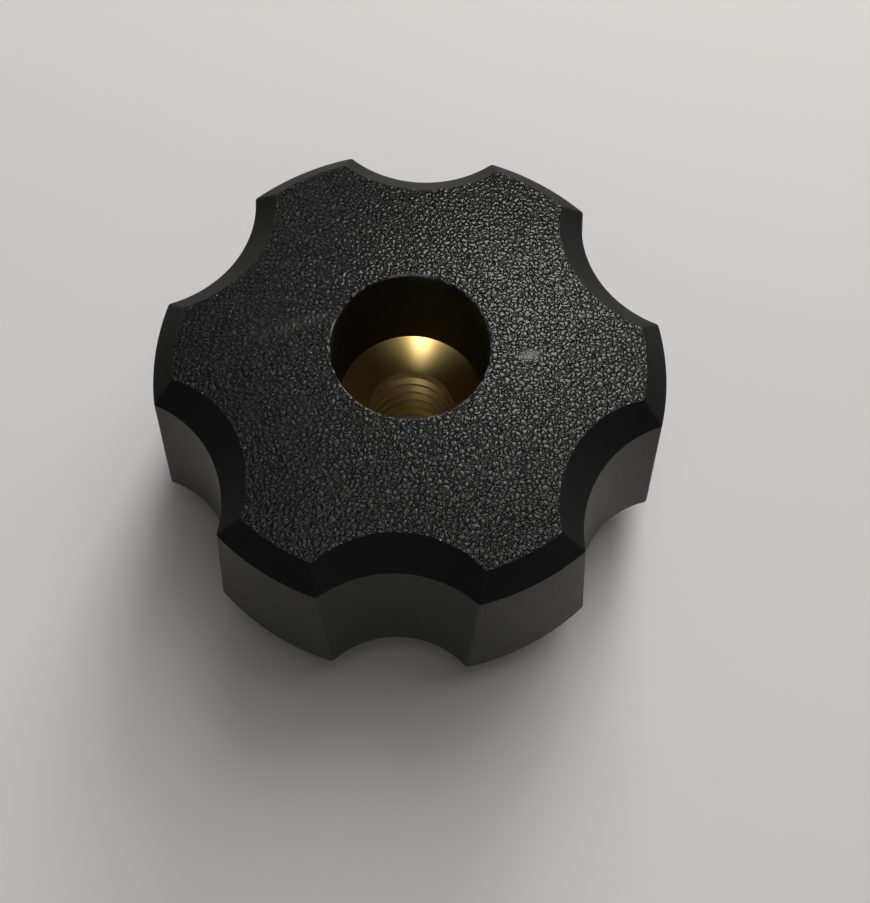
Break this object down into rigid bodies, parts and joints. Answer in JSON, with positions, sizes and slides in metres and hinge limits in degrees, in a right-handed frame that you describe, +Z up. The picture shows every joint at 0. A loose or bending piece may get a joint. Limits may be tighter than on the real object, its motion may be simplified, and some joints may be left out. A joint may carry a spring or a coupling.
{
  "type": "scalloped hand knob",
  "caption": "Scalloped hand knob: drafted plastic lobes, chamfered shoulder and grained dome, with a bore down to a tapped brass insert; screws onto a stud and clamps on its boss.",
  "frame": {"origin": "on the knob's axis, on the boss face that it clamps and rests with", "axes": "+Z up the axis and out of the bore, +Y through the middle of a scallop, +X through the middle of a lobe"},
  "size_m": [0.038, 0.0368, 0.0191],
  "materials": {
    "black_plastic": "leather grain on the dome, smooth satin chamfer and bore, fine matte skirt",
    "brass": "turned and tapped"
  },
  "bodies": {
    "root": {"knob_body": "black_plastic", "threaded_insert": "brass"}
  },
  "joints": []
}
